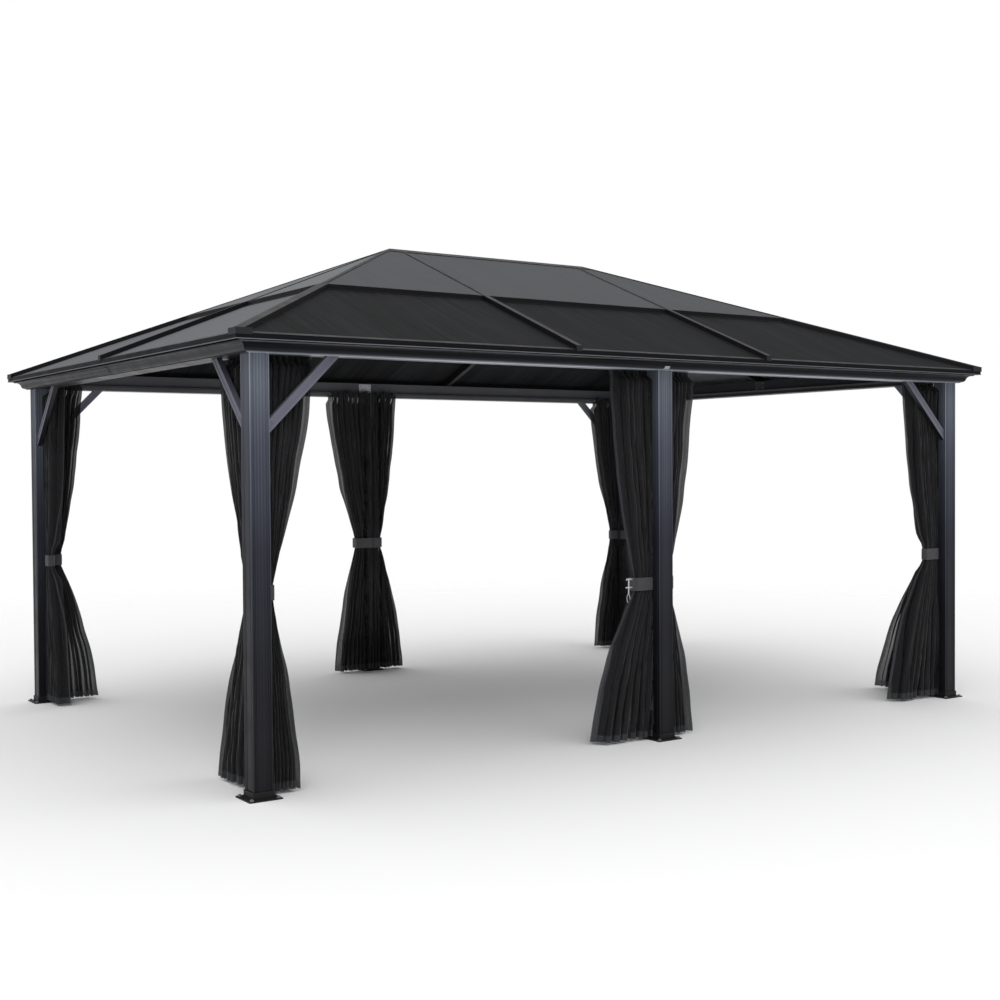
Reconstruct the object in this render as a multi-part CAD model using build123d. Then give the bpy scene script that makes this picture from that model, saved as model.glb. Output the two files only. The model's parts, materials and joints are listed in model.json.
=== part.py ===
from build123d import *
import math
import os

# All sizes in millimetres. X runs along the long side, Y across, Z up from the floor.
# The origin is on the floor under the middle of the gazebo.
# Reach is the level distance outward from the ridge line, the same on all four slopes.

# Plan and heights
post_size = 104.0
posts_half_length = 2625.0
posts_half_width = 1826.0
beam_bottom = 2166.0
beam_height = 108.0
roof_pitch = 21.8
roof_overhang = 118.0
floor_gap = 14.0

# Posts
corner_bevel = 1.5
flute_edge = 9.0
flute_width = 4.0
flute_depth = 2.5
line_start = 19.0
line_width = 3.0
line_depth = 1.5
field_edge = 29.0
field_depth = 1.5
groove_side = 1.0
post_wall = 8.0

# Post feet
plate_size = 178.0
plate_corner = 8.0
plate_thickness = 6.0
collar_wall = 5.5
collar_corner = 4.0
collar_height = 34.0
collar_clearance = 0.5
anchor_spacing = 142.0
anchor_hole = 11.0

# Gutter beams, with the ogee measured outward from the outer face of the posts
beam_inset = 4.0
beam_side_wall = 5.0
beam_flat_wall = 3.0
gutter_low_reach = 24.0
gutter_belly_reach = 42.0
gutter_belly_height = 10.0
gutter_waist_reach = 49.0
gutter_waist_height = 22.0
gutter_cove_reach = 62.0
gutter_cove_height = 41.0
gutter_top_reach = 87.0
gutter_top_height = 51.0
gutter_lip = 5.0
gutter_lip_width = 5.0
gutter_wall = 4.0
mitre_gap = 0.6
splice_offset = 45.0
splice_gap = 0.5
splice_plate_length = 104.0
splice_plate_height = 66.0
splice_plate_thickness = 2.5

# Knee braces
brace_leg = 391.0
brace_width = 47.0
brace_thickness = 30.0
brace_from_outside = 15.0
brace_groove_width = 14.0
brace_groove_depth = 2.0

# Eave trim
trim_above_gutter = 2.0
trim_height = 29.0
trim_wall = 3.0
trim_cover = 26.0
trim_bead = 2.0
trim_bead_height = 6.0

# Roof layers, all thicknesses taken straight up
seat_gap = 0.3
sheet_thickness = 6.0
sheet_edge_gap = 6.0
tier_step = 24.0
purlin_line = 1020.0
purlin_width = 40.0
purlin_depth = 46.0
purlin_ledge = 20.0
fascia_thickness = 5.0
fascia_lip = 14.0
fascia_foot = 16.0
fascia_lip_thickness = 3.0
bar_depth = 60.0
bar_end_depth = 14.0
hip_bar_width = 46.0
rafter_bar_width = 40.0
rafter_hub_gap = 4.0
ridge_bar_width = 40.0
ridge_bar_depth = 90.0
hub_margin = 0.5
lower_hip_cap_width = 60.0
lower_rafter_cap_width = 38.0
upper_cap_height = 4.0
upper_hip_cap_width = 30.0
upper_rafter_cap_width = 24.0
ridge_cap_half_width = 62.0
ridge_tail_length = 150.0
ridge_tail_width = 74.0
end_cap_thickness = 4.0
end_cap_drop = 2.0
corner_cap_length = 84.0

# Curtains, their rail and their bands
rail_width = 18.0
rail_height = 13.0
rail_above_beam = 22.0
curtain_gap = 0.4
curtain_brace_gap = 1.0
curtain_behind_post = 44.0
curtain_hem_gap = 8.0
curtain_mitre_gap = 1.2
curtain_bulge = 0.62
waist_inset = 8.0
waist_short_of_post = 6.0
waist_behind_post = 28.0
waist_ease = 120.0
band_height = 78.0
band_wall = 2.5
band_gap = 0.4
band_post_gap = 0.2
band_middle_gap = 0.5

slope = math.tan(math.radians(roof_pitch))
hip_setback = posts_half_length - posts_half_width
eave_reach = posts_half_width + roof_overhang
beam_top = beam_bottom + beam_height
beam_width = post_size - beam_inset
post_bore = post_size - 2 * post_wall
brace_inner_leg = brace_leg - brace_width * math.sqrt(2)
trim_bottom = beam_bottom + gutter_top_height + trim_above_gutter
trim_top = trim_bottom + trim_height
trim_lip_thickness = trim_wall + seat_gap
sheet_low_at_eave = trim_top - trim_lip_thickness - sheet_thickness
ridge_height = sheet_low_at_eave + slope * eave_reach
hub_size = hip_bar_width * math.sqrt(2) + rafter_bar_width + 2 * hub_margin
rafter_line = hip_setback - hub_size / 2 - rafter_bar_width / 2 - rafter_hub_gap
lower_cap_top = tier_step + sheet_thickness + seat_gap + upper_cap_height
rail_bottom = beam_bottom + rail_above_beam
curtain_front_depth = brace_from_outside + brace_thickness + curtain_brace_gap
curtain_back_depth = post_size + curtain_behind_post
waist_front_depth = curtain_front_depth + waist_inset
waist_back_depth = post_size - waist_short_of_post
waist_wrap_depth = post_size + waist_behind_post
waist_start = band_post_gap + band_wall + band_gap
wrap_end = -post_size / 2 + band_middle_gap + band_wall + band_gap
far = 7000.0
sides = ["front", "back", "left", "right"]


def frame_top(reach):
    # Underside of the lower roof sheets.
    return ridge_height - slope * reach


def on_slope(points):
    # Points given as reach and height above the underside of the lower sheets.
    return [(reach, frame_top(reach) + lift) for reach, lift in points]


def outline(points):
    return make_face(Polyline(points, close=True))


def joined(lines):
    return make_face([edge for line in lines for edge in line.edges()])


def half_ridge(side):
    return hip_setback if side in ("front", "back") else 0.0


def sector(side, gap=0.0):
    # The plan area of one slope, at the front, between the hip lines.
    half = half_ridge(side) - gap / math.sqrt(2)
    corners = [(-half, 0), (half, 0)] if half > 0 else [(0, half)]
    return extrude(outline(corners + [(half + far, -far), (-half - far, -far)]), amount=far)


def length_of(section):
    return extrude(Plane.YZ * section, amount=far / 2, both=True)


def run_of(points, side, gap=0.0, start=None, end=None):
    # A length of constant section, given as reach and height, mitred along the hips.
    section = outline([(-reach, height) for reach, height in points])
    length = length_of(section) & sector(side, gap)
    if start is not None or end is not None:
        low = -far if start is None else start
        high = far if end is None else end
        window = Box(high - low, 2 * far, far, align=(Align.MIN, Align.CENTER, Align.MIN))
        length = length & Pos(low, 0, 0) * window
    return length


def place(shape, side):
    # Everything is built at the front. Short sides are turned and moved out to the hip ends.
    if side == "front":
        return shape
    if side == "back":
        return Rot(0, 0, 180) * shape
    if side == "left":
        return Pos(-hip_setback, 0, 0) * Rot(0, 0, -90) * shape
    return Pos(hip_setback, 0, 0) * Rot(0, 0, 90) * shape


def four_corners(shape):
    # A shape at the front left corner and its mirror images at the other three.
    across = mirror(shape, about=Plane.YZ)
    return [shape, across, mirror(shape, about=Plane.XZ), mirror(across, about=Plane.XZ)]


def save(name, shapes):
    solids = [solid for shape in shapes for solid in shape.solids()]
    piece = solids[0] if len(solids) == 1 else Compound(children=solids)
    export_step(piece, f"parts/{name}.step")


def post_section():
    # One face from corner to corner, repeated round the square.
    half = post_size / 2
    steps = [
        (corner_bevel, 0),
        (flute_edge, 0),
        (flute_edge + groove_side, flute_depth),
        (flute_edge + flute_width - groove_side, flute_depth),
        (flute_edge + flute_width, 0),
        (line_start, 0),
        (line_start + line_width / 2, line_depth),
        (line_start + line_width, 0),
        (field_edge, 0),
        (field_edge + groove_side, field_depth),
    ]
    face = [(along - half, half - depth) for along, depth in steps]
    face += [(-x, y) for x, y in reversed(face)]
    points = []
    for quarter in range(4):
        for x, y in face:
            points.append((x, y))
        face = [(y, -x) for x, y in face]
    return outline(points) - Rectangle(post_bore, post_bore)


def build_post(x, y):
    tube = extrude(post_section(), amount=beam_bottom - plate_thickness)
    return Pos(x, y, plate_thickness) * tube


def build_foot(x, y):
    plate = extrude(RectangleRounded(plate_size, plate_size, plate_corner), amount=plate_thickness)
    inner = post_size + 2 * collar_clearance
    outer = inner + 2 * collar_wall
    collar = RectangleRounded(outer, outer, collar_corner) - Rectangle(inner, inner)
    foot = plate + Pos(0, 0, plate_thickness) * extrude(collar, amount=collar_height)
    for hole in GridLocations(anchor_spacing, anchor_spacing, 2, 2):
        foot -= hole * Cylinder(anchor_hole / 2, far)
    return Pos(x, y, 0) * foot


def gutter_section():
    # A box carrying an ogee gutter on its outer side, open at the top.
    face = posts_half_width
    inner = face - beam_width
    z = beam_bottom
    lip_low = z + gutter_top_height - gutter_lip
    foot = (-face - gutter_low_reach, z + gutter_lip)
    belly = (-face - gutter_belly_reach, z + gutter_belly_height)
    waist = (-face - gutter_waist_reach, z + gutter_waist_height)
    cove = (-face - gutter_cove_reach, z + gutter_cove_height)
    crown = (-face - gutter_top_reach, lip_low)
    lip_in = -face - gutter_top_reach + gutter_lip_width
    outside = Polyline((-inner, z + beam_height), (-inner, z), (foot[0], z), foot)
    round_nose = ThreePointArc(foot, belly, waist)
    hollow_top = ThreePointArc(waist, cove, crown)
    trough = Polyline(
        crown,
        (crown[0], z + gutter_top_height),
        (lip_in, z + gutter_top_height),
        (cove[0] + gutter_wall, cove[1] + gutter_wall),
        (waist[0] + gutter_wall, waist[1] + gutter_wall),
        (belly[0] + gutter_wall, belly[1] + gutter_wall),
        (-face - gutter_wall, z + 2 * gutter_wall),
        (-face, z + 3 * gutter_wall),
        (-face, z + beam_height),
        (-inner, z + beam_height),
    )
    return joined([outside, round_nose, hollow_top, trough])


def splice_line(side):
    # The beams are joined a little to the left of the middle posts, seen from the front.
    return splice_offset if side == "back" else -splice_offset


def build_beams(side):
    bore = Rectangle(beam_width - 2 * beam_side_wall, beam_height - 2 * beam_flat_wall)
    middle = posts_half_width - beam_width / 2
    section = gutter_section() - Pos(-middle, beam_bottom + beam_height / 2) * bore
    length = length_of(section) & sector(side, mitre_gap)
    length = length - Pos(splice_line(side), 0, 0) * Box(splice_gap, far * 2, far * 2)
    return [place(piece, side) for piece in length.solids()]


def build_splice_plate(side):
    inner = posts_half_width - beam_width
    plate = Box(splice_plate_length, splice_plate_thickness, splice_plate_height)
    y = -inner + splice_plate_thickness / 2
    z = rail_bottom + rail_height + seat_gap + splice_plate_height / 2
    return place(Pos(splice_line(side), y, z) * plate, side)


def build_brace(side, hand):
    # A grooved bar at half a right angle between a corner post and the beam above it.
    corner = -half_ridge(side) - posts_half_width + post_size
    low = beam_bottom
    bar = outline(
        [
            (corner, low - brace_leg),
            (corner, low - brace_inner_leg),
            (corner + brace_inner_leg, low),
            (corner + brace_leg, low),
        ]
    )
    bar = extrude(Plane.XZ * bar, amount=-brace_thickness)
    bar = Pos(0, -posts_half_width + brace_from_outside, 0) * bar
    leg = (brace_leg + brace_inner_leg) / 4
    groove = Box(far, brace_groove_depth * 2, brace_groove_width)
    y = -posts_half_width + brace_from_outside
    middle = Pos(corner + leg, y, low - leg) * Rot(0, -45, 0)
    bar = bar - middle * groove
    bar = bar - Pos(0, brace_thickness, 0) * middle * groove
    if hand > 0:
        bar = mirror(bar, about=Plane.YZ)
    return place(bar, side)


def build_trims(side):
    # A strip that holds the lower edge of the sheets, with a small bead along its foot.
    out = eave_reach
    back = out - trim_wall
    cover = out - trim_cover
    over = sheet_thickness + seat_gap
    under = -seat_gap
    lip = [(cover, over + trim_wall), (cover, over), (back - 1, over), (back - 1, under)]
    lip += [(cover, under), (cover, under - trim_wall), (back, under - trim_wall)]
    section = [
        (back, trim_bottom),
        (out + trim_bead, trim_bottom),
        (out + trim_bead, trim_bottom + trim_bead_height),
        (out, trim_bottom + trim_bead_height + 1),
    ]
    section += on_slope([(out, over + trim_wall)] + lip)
    length = run_of(section, side, mitre_gap) - Box(splice_gap, far * 2, far * 2)
    return [place(piece, side) for piece in length.solids()]


def bay_edges(side, clear):
    # The stretches of a slope between its rafters and hips.
    lines = [-rafter_line, rafter_line] if half_ridge(side) else [0.0]
    edges = [None] + lines + [None]
    spans = []
    for left, right in zip(edges, edges[1:]):
        start = None if left is None else left + clear / 2
        end = None if right is None else right - clear / 2
        spans.append((start, end))
    return spans


def build_sheets(side, tier):
    near = purlin_line + 1
    out = eave_reach - trim_wall - 2
    lift = 0.0
    if tier == "upper":
        near = ridge_bar_width / 2 - 6
        out = purlin_line - 0.5
        lift = tier_step
    top = lift + sheet_thickness
    section = on_slope([(near, lift), (out, lift), (out, top), (near, top)])
    spans = bay_edges(side, sheet_edge_gap)
    return [place(run_of(section, side, sheet_edge_gap, *span), side) for span in spans]


def build_purlins(side):
    near = purlin_line - purlin_width
    ledge = purlin_line + purlin_ledge
    section = on_slope(
        [
            (near, -purlin_depth),
            (ledge, -purlin_depth),
            (ledge, -seat_gap),
            (purlin_line, -seat_gap),
            (purlin_line, tier_step - seat_gap),
            (near, tier_step - seat_gap),
        ]
    )
    lengths = []
    for start, end in bay_edges(side, rafter_bar_width + 2 * seat_gap):
        lengths.append(place(run_of(section, side, hip_bar_width + 2 * seat_gap, start, end), side))
    return lengths


def build_fascia(side):
    # The dark step between the tiers, with a lip over each sheet.
    back = purlin_line + seat_gap
    front = back + fascia_thickness
    high = tier_step + sheet_thickness + seat_gap
    low = sheet_thickness + seat_gap
    section = on_slope(
        [
            (front - fascia_lip - fascia_thickness, high),
            (front - fascia_lip - fascia_thickness, high + fascia_lip_thickness),
            (front, high + fascia_lip_thickness),
            (front, low + fascia_lip_thickness),
            (front + fascia_foot, low + fascia_lip_thickness),
            (front + fascia_foot, low),
            (back, low),
            (back, high),
        ]
    )
    return place(run_of(section, side, mitre_gap), side)


def hip_strip(width):
    turn = Pos(-hip_setback, 0, 0) * Rot(0, 0, 225)
    return turn * Box(far, width, far, align=(Align.MIN, Align.CENTER, Align.MIN))


def on_hips(points, width):
    # A folded strip along each hip, lying on both slopes beside it.
    front = run_of(points, "front") & hip_strip(width)
    left = place(run_of(points, "left"), "left") & hip_strip(width)
    return four_corners(front + left)


def on_rafters(points, width):
    section = outline([(-reach, height) for reach, height in points])
    bar = extrude(Plane.YZ * section, amount=width / 2, both=True)
    bars = [place(bar, "left"), place(bar, "right")]
    for x in (-rafter_line, rafter_line):
        bars += [Pos(x, 0, 0) * bar, Pos(x, 0, 0) * mirror(bar, about=Plane.XZ)]
    return bars


def bar_points(start):
    # Bars under the sheets, deep inside, cut level over the beam, stepped at the purlin.
    seat = posts_half_width - beam_width
    level = beam_top + seat_gap - frame_top(seat)
    upper = tier_step - seat_gap
    points = [(start, -bar_depth)]
    touch = (frame_top(0) - bar_depth - beam_top - seat_gap) / slope
    points += [(touch, -bar_depth)]
    edge = posts_half_width
    points += [(edge, beam_top + seat_gap - frame_top(edge))]
    tip = eave_reach - trim_cover - 4
    points += [(tip, -bar_end_depth), (tip, -seat_gap)]
    points += [(purlin_line, -seat_gap), (purlin_line, upper), (start, upper)]
    return on_slope(points)


def build_ridge_bar():
    half = ridge_bar_width / 2
    top = frame_top(half) + tier_step - seat_gap
    low = top - ridge_bar_depth
    bar = Pos(0, 0, low) * extrude(Rectangle(2 * hip_setback, ridge_bar_width), amount=ridge_bar_depth)
    hub_top = frame_top(hub_size / 2) + tier_step - seat_gap
    hub = extrude(Rectangle(hub_size, hub_size), amount=hub_top - low)
    return bar + Pos(-hip_setback, 0, low) * hub + Pos(hip_setback, 0, low) * hub


def cap_points(tier, start):
    low = sheet_thickness + seat_gap
    if tier == "lower":
        foot = purlin_line + 2 * seat_gap + fascia_thickness
        edge = foot + fascia_foot
        rise = low + fascia_lip_thickness + seat_gap
        cover = eave_reach - trim_cover - seat_gap
        over = low + trim_wall + seat_gap
        points = [(foot, rise), (edge, rise), (edge, low), (cover, low), (cover, over)]
        points += [(eave_reach, over), (eave_reach, lower_cap_top), (foot, lower_cap_top)]
        return on_slope(points)
    low = tier_step + sheet_thickness + seat_gap
    lip = purlin_line + seat_gap - fascia_lip - seat_gap
    rise = low + fascia_lip_thickness + seat_gap
    end = purlin_line + fascia_thickness
    top = lower_cap_top
    return on_slope([(start, low), (lip, low), (lip, rise), (end, rise), (end, top), (start, top)])


def build_ridge_cap():
    # Folded over the ridge, with a tongue down each hip end.
    low = tier_step + sheet_thickness + seat_gap
    high = lower_cap_top
    wide = ridge_cap_half_width
    section = on_slope([(0, low), (wide, low), (wide, high), (0, high)])
    tail = on_slope([(0, low), (ridge_tail_length, low), (ridge_tail_length, high), (0, high)])
    half = ridge_tail_width / 2
    cap = None
    for side in sides:
        leaf = place(run_of(section, side), side)
        cap = leaf if cap is None else cap + leaf
    for side in sides[2:]:
        cap += place(run_of(tail, side, 0.0, -half, half), side)
    return cap


def build_end_caps():
    # Small plates closing the eave ends of the caps, folded round the corners at the hips.
    near = eave_reach + seat_gap
    out = near + end_cap_thickness
    top = frame_top(eave_reach) + lower_cap_top
    low = top - (lower_cap_top - end_cap_drop)
    section = [(near, low), (out, low), (out, top), (near, top)]
    plates = on_rafters(section, lower_rafter_cap_width)
    reach = hip_setback + near
    front = run_of(section, "front", 0.0, -reach - far / 2, -reach + corner_cap_length)
    reach = near
    left = place(run_of(section, "left", 0.0, reach - corner_cap_length, reach + far / 2), "left")
    return plates + four_corners(front + left)


def build_rail(side):
    # The curtain rail on the inner face of a beam, mitred at the corners.
    out = posts_half_width - beam_width - seat_gap
    near = out - rail_width
    top = rail_bottom + rail_height
    section = [(near, rail_bottom), (out, rail_bottom), (out, top), (near, top)]
    return place(run_of(section, side, mitre_gap), side)


def curtain_front(top_width, waist, hem_width, tie):
    # The outline seen square on, post side at x = 0: narrow at the band, falling open above and below.
    top = rail_bottom - curtain_gap
    held = tie + band_height
    edge = waist_start + waist
    hem = curtain_hem_gap + hem_width
    over = (edge + curtain_bulge * (top_width - waist), (held + top) / 2)
    under = (edge + curtain_bulge * (hem - edge), (tie + floor_gap) / 2)
    start = [(hem, floor_gap), (curtain_hem_gap, floor_gap), (waist_start, tie)]
    corner = (waist_start + top_width, top)
    lines = [
        Polyline(*start, (waist_start, top), corner),
        ThreePointArc(corner, over, (edge, held)),
        Line((edge, held), (edge, tie)),
        ThreePointArc((edge, tie), under, (hem, floor_gap)),
    ]
    return joined(lines)


def curtain_side(front_top, front, waist_front, waist_back, tie):
    # The outline seen along the side: depth from the outer face of the posts against height.
    held = tie + band_height
    top = rail_bottom - curtain_gap
    under_beam = beam_bottom - curtain_gap
    back = curtain_back_depth
    points = [(front, floor_gap), (back, floor_gap), (back, tie - waist_ease), (waist_back, tie)]
    points += [(waist_back, held), (back, held + waist_ease), (back, top), (front_top, top)]
    if front_top > front:
        points += [(front_top, under_beam), (front, under_beam)]
    points += [(front, held + waist_ease), (waist_front, held), (waist_front, tie), (front, tie - waist_ease)]
    return outline(points)


def build_curtain(top_width, waist, hem_width, tie, wraps):
    # Stands on the +X side of a post whose face is at x = 0, with its outer face at y = 0.
    face_on = extrude(Plane.XZ * curtain_front(top_width, waist, hem_width, tie), amount=-post_size * 2)
    behind_beam = beam_width + curtain_gap
    waist_back = waist_wrap_depth if wraps else waist_back_depth
    depths = curtain_side(behind_beam, curtain_front_depth, waist_front_depth, waist_back, tie)
    cloth = face_on & extrude(Plane.YZ * depths, amount=far)
    if wraps:
        # The part that covers the inner face of the post up to its middle.
        clear = post_size + curtain_hem_gap
        snug = post_size + waist_start
        depths = curtain_side(clear, clear, snug, waist_back, tie)
        width = curtain_hem_gap - wrap_end
        cloth = cloth + Pos(wrap_end, 0, 0) * extrude(Plane.YZ * depths, amount=width)
    return cloth


def waist_outline(waist, wraps, grow):
    # The plan of the gathered cloth under its band, grown evenly all round.
    near = waist_start - grow
    edge = waist_start + waist + grow
    front = waist_front_depth - grow
    if not wraps:
        back = waist_back_depth + grow
        return outline([(near, front), (edge, front), (edge, back), (near, back)])
    back = waist_wrap_depth + grow
    end = wrap_end - grow
    behind = post_size + waist_start - grow
    return outline([(near, front), (edge, front), (edge, back), (end, back), (end, behind), (near, behind)])


def build_band(waist, tie, wraps):
    ring = waist_outline(waist, wraps, band_gap + band_wall) - waist_outline(waist, wraps, band_gap)
    return Pos(0, 0, tie) * extrude(ring, amount=band_height)


def beside_post(shape, side, post, hand):
    # Puts a curtain or band beside a post: post is -1, 0 or 1 along the side, seen from outside.
    middle = post * (half_ridge(side) + posts_half_width - post_size / 2)
    if hand < 0:
        shape = mirror(shape, about=Plane.YZ)
    shape = Pos(middle + hand * post_size / 2, -posts_half_width, 0) * shape
    return place(shape & sector(side, curtain_mitre_gap), side)


os.makedirs("parts", exist_ok=True)

# Posts and feet
long_x = posts_half_length - post_size / 2
wide_y = posts_half_width - post_size / 2
post_places = {
    "front_left": (-long_x, -wide_y),
    "front_middle": (0.0, -wide_y),
    "front_right": (long_x, -wide_y),
    "back_left": (-long_x, wide_y),
    "back_middle": (0.0, wide_y),
    "back_right": (long_x, wide_y),
}
for name, (x, y) in post_places.items():
    save(f"post_{name}", [build_post(x, y)])
save("post_feet", [build_foot(x, y) for x, y in post_places.values()])

# Beams, trim and braces
for side in sides:
    save(f"gutter_beam_{side}", build_beams(side))
    save(f"eave_trim_{side}", build_trims(side))
save("splice_plates", [build_splice_plate(side) for side in sides])
save("knee_braces_long_sides", [build_brace(side, hand) for side in sides[:2] for hand in (-1, 1)])
save("knee_braces_short_sides", [build_brace(side, hand) for side in sides[2:] for hand in (-1, 1)])

# Roof frame
save("ridge_bar", [build_ridge_bar()])
save("hip_bars", on_hips(bar_points(hub_size / 2 + seat_gap), hip_bar_width))
rafter_bars = on_rafters(bar_points(hub_size / 2 + seat_gap), rafter_bar_width)[:2]
rafter_bars += on_rafters(bar_points(ridge_bar_width / 2 + seat_gap), rafter_bar_width)[2:]
save("rafter_bars", rafter_bars)
save("purlins", [length for side in sides for length in build_purlins(side)])
save("purlin_fascias", [build_fascia(side) for side in sides])

# Roof sheets
for side in sides:
    for tier in ("lower", "upper"):
        save(f"roof_sheets_{tier}_{side}", build_sheets(side, tier))

# Caps
cap_start = ridge_cap_half_width + seat_gap
tail_start = ridge_tail_length + seat_gap
save("lower_hip_caps", on_hips(cap_points("lower", 0), lower_hip_cap_width))
save("upper_hip_caps", on_hips(cap_points("upper", cap_start), upper_hip_cap_width))
save("lower_rafter_caps", on_rafters(cap_points("lower", 0), lower_rafter_cap_width))
upper_caps = on_rafters(cap_points("upper", tail_start), upper_rafter_cap_width)[:2]
upper_caps += on_rafters(cap_points("upper", cap_start), upper_rafter_cap_width)[2:]
save("upper_rafter_caps", upper_caps)
save("ridge_cap", [build_ridge_cap()])
save("cap_ends", build_end_caps())

# Curtains, seen from outside: side, post along it, hand, widths at the top, the band and the hem,
# and the height of the band
curtains = {
    "front_left": [("front", -1, 1, 275, 40, 170, 960), ("left", 1, -1, 400, 95, 450, 960)],
    "front_middle": [("front", 0, -1, 255, 120, 402, 880), ("front", 0, 1, 218, 50, 195, 880)],
    "front_right": [("front", 1, -1, 285, 130, 430, 953), ("right", -1, 1, 240, 90, 485, 953)],
    "back_left": [("back", 1, -1, 212, 67, 298, 945), ("left", -1, 1, 225, 80, 260, 945)],
    "back_middle": [("back", 0, 1, 322, 88, 250, 978), ("back", 0, -1, 160, 26, 200, 978)],
    "back_right": [("back", -1, 1, 290, 75, 240, 960), ("right", 1, -1, 230, 80, 260, 960)],
}
bands = []
for name, pair in curtains.items():
    cloths = []
    for side, post, hand, top_width, waist, hem_width, tie in pair:
        wraps = post == 0
        cloth = build_curtain(top_width, waist, hem_width, tie, wraps)
        cloths.append(beside_post(cloth, side, post, hand))
        bands.append(beside_post(build_band(waist, tie, wraps), side, post, hand))
    save(f"curtains_{name}", cloths)
save("tie_bands", bands)
save("curtain_rails", [build_rail(side) for side in sides])
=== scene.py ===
import json
import math
import random
from collections import namedtuple

import bmesh
import bpy
from mathutils import Matrix, Vector, noise


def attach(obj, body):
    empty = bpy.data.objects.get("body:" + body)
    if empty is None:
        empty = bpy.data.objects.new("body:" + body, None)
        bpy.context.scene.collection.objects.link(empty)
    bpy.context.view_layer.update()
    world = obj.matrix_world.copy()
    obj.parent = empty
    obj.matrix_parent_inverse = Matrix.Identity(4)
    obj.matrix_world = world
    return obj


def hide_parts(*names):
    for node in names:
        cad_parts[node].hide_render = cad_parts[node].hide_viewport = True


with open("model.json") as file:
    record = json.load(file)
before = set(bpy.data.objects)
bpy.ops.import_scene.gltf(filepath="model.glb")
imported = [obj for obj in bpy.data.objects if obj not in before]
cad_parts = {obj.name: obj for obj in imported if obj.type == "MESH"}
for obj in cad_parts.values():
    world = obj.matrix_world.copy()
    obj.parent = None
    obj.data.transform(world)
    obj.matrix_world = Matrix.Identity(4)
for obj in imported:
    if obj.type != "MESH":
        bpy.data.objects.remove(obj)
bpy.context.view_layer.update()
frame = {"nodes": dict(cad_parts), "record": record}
nodes = frame["nodes"]

scene = bpy.context.scene
scene.view_settings.view_transform = "Standard"

# Sizes of the solids that the coats and the scene's own pieces fit, in millimetres
post_size = 104.0
post_lines_x = (-2573.0, 0.0, 2573.0)
post_lines_y = (-1774.0, 1774.0)
outer_face = 1826.0  # the posts' outer faces on the long sides, from the middle
hip_setback = 799.0  # how much further out the short sides stand
beam_bottom = 2166.0
beam_top = 2274.0
beam_back = 101.5  # just clear of the beam's inner side, from the posts' outer face
trim_bottom = 2219.0
trim_top = 2252.0
rail_bottom = 2188.0
splice_offset = 45.0  # from the middle of a side to the joint of its beams
floor_gap = 14.0
band_height = 78.0

all_sides = ("front", "back", "left", "right")
long_sides = ("front", "back")


# Camera, matched to the photograph
camera_place = (-5.448, -8.109, 1.607)
camera_yaw = 55.78
camera_pitch = -1.33
camera_roll = -0.375
camera_right = (0.827, -0.562)  # the picture's right, in plan
focal_length = 50.8

lens = bpy.data.cameras.new("camera")
lens.sensor_fit = "HORIZONTAL"
lens.sensor_width = 36.0
lens.lens = focal_length
lens.clip_end = 200.0
camera = bpy.data.objects.new("camera", lens)
scene.collection.objects.link(camera)
turn = Matrix.Rotation(math.radians(camera_yaw - 90), 4, "Z")
tilt = Matrix.Rotation(math.radians(90 + camera_pitch), 4, "X")
roll = Matrix.Rotation(math.radians(camera_roll), 4, "Z")
camera.matrix_world = Matrix.Translation(camera_place) @ turn @ tilt @ roll
scene.camera = camera


# Material helpers
def new_material(name, specular=0.5):
    mat = bpy.data.materials.new(name)
    mat.use_nodes = True
    shader = mat.node_tree.nodes["Principled BSDF"]
    shader.inputs["Specular IOR Level"].default_value = specular
    return mat, mat.node_tree, shader


def link(tree, source, target):
    tree.links.new(source, target)


def place_of(tree, stretch=(1, 1, 1), source="Object"):
    coord = tree.nodes.new("ShaderNodeTexCoord")
    mapping = tree.nodes.new("ShaderNodeMapping")
    mapping.inputs["Scale"].default_value = stretch
    link(tree, coord.outputs[source], mapping.inputs["Vector"])
    return mapping.outputs["Vector"]


def part_of(tree, axis, source="Object"):
    coord = tree.nodes.new("ShaderNodeTexCoord")
    split = tree.nodes.new("ShaderNodeSeparateXYZ")
    link(tree, coord.outputs[source], split.inputs["Vector"])
    return split.outputs[axis]


def math_of(tree, kind, a, b):
    node = tree.nodes.new("ShaderNodeMath")
    node.operation = kind
    for socket, value in zip(node.inputs, (a, b)):
        if isinstance(value, (int, float)):
            socket.default_value = value
        else:
            link(tree, value, socket)
    return node.outputs["Value"]


def away_of(tree, axis, line=0.0):
    # How far a point lies from the lines at +line and -line on one axis, in metres.
    away = math_of(tree, "ABSOLUTE", part_of(tree, axis), 0.0)
    if line:
        away = math_of(tree, "ABSOLUTE", math_of(tree, "SUBTRACT", away, line), 0.0)
    return away


def remap(tree, value, low, high, out_low, out_high, smooth_step=False):
    node = tree.nodes.new("ShaderNodeMapRange")
    if smooth_step:
        node.interpolation_type = "SMOOTHSTEP"
    node.inputs["From Min"].default_value = low
    node.inputs["From Max"].default_value = high
    node.inputs["To Min"].default_value = out_low
    node.inputs["To Max"].default_value = out_high
    link(tree, value, node.inputs["Value"])
    return node.outputs["Result"]


def noise_of(tree, scale, detail=3.0, stretch=(1, 1, 1), source="Object"):
    tex = tree.nodes.new("ShaderNodeTexNoise")
    tex.inputs["Scale"].default_value = scale
    tex.inputs["Detail"].default_value = detail
    link(tree, place_of(tree, stretch, source), tex.inputs["Vector"])
    return tex.outputs["Fac"]


def spread(tree, value, low, high):
    # Maps the usual spread of a noise, 0.3 to 0.7, onto a range.
    return remap(tree, value, 0.3, 0.7, low, high)


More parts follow.
